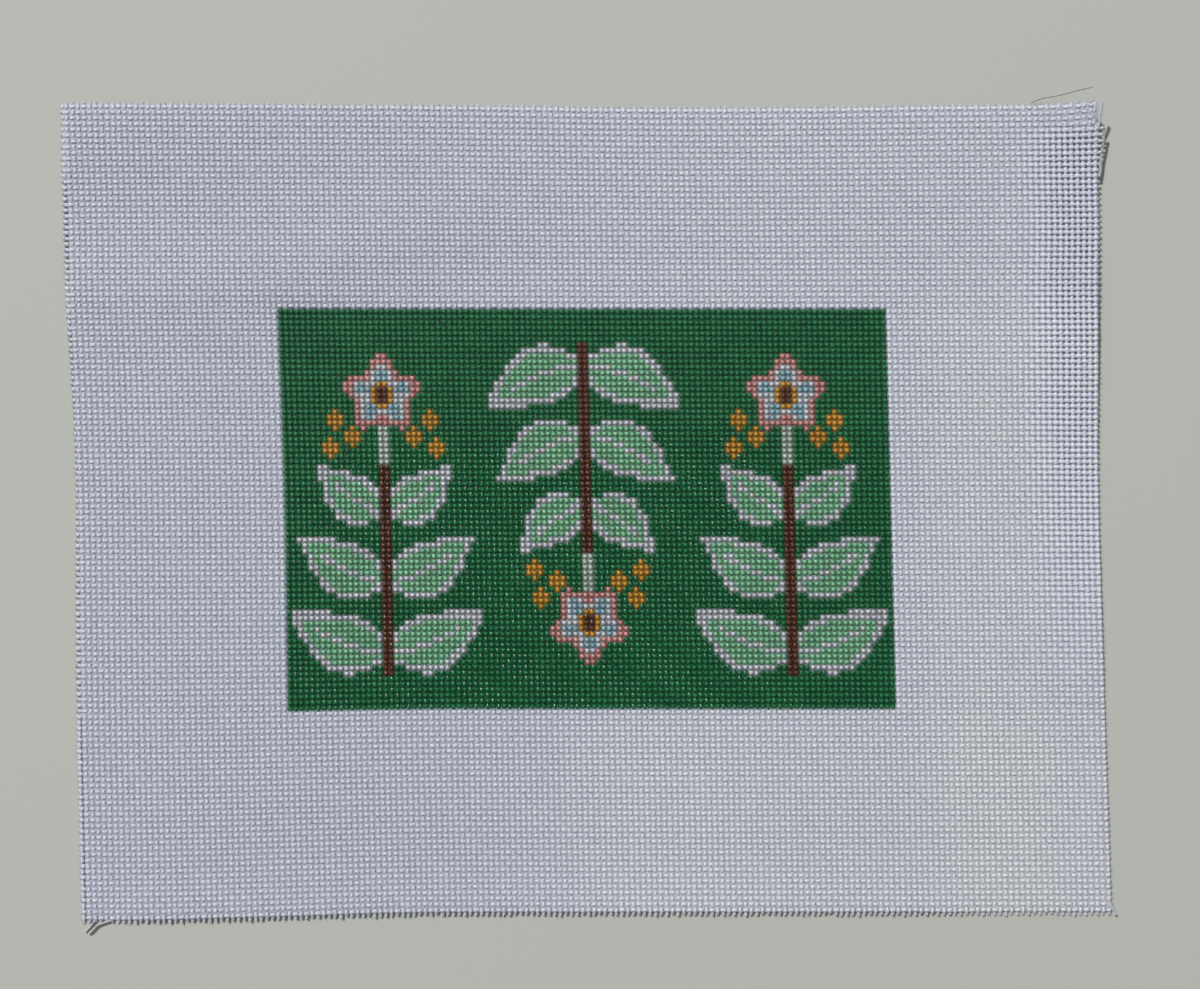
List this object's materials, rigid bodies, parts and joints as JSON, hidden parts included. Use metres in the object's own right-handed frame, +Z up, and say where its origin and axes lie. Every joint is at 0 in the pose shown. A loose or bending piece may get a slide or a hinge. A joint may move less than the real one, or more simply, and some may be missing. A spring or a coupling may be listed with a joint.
{
  "type": "needlepoint canvas",
  "caption": "Flat rectangle of open-weave cotton needlepoint canvas with a painted panel in the middle, wide bare margins and raw cut edges, one corner curling up.",
  "frame": {"origin": "under the middle of the painted rectangle, on the plane that the canvas rests on", "axes": "+X along the weft threads (the long way), +Y along the warp threads towards the curled edge, +Z up out of the painted face"},
  "size_m": [0.2648, 0.2135, 0.0057],
  "materials": {
    "bare_canvas": "bleached, stiffened cotton thread, matt with a faint sheen",
    "painted_canvas": "cotton thread under thin acrylic paint, matt",
    "loose_thread": "bleached cotton thread, matt",
    "loose_fibre": "single grey cotton fibre, matt"
  },
  "bodies": {
    "root": {"painted_panel": "painted_canvas", "corner_top_left": "bare_canvas", "margin_top": "bare_canvas", "corner_top_right": "bare_canvas", "margin_bottom": "bare_canvas", "margin_left": "bare_canvas", "margin_right": "bare_canvas", "fibre_top_right": "loose_fibre", "warp_end_top_right": "loose_thread", "weft_end_bottom_left": "loose_thread", "warp_end_bottom_left": "loose_thread", "warp_end_bottom_right": "loose_thread"}
  },
  "joints": []
}
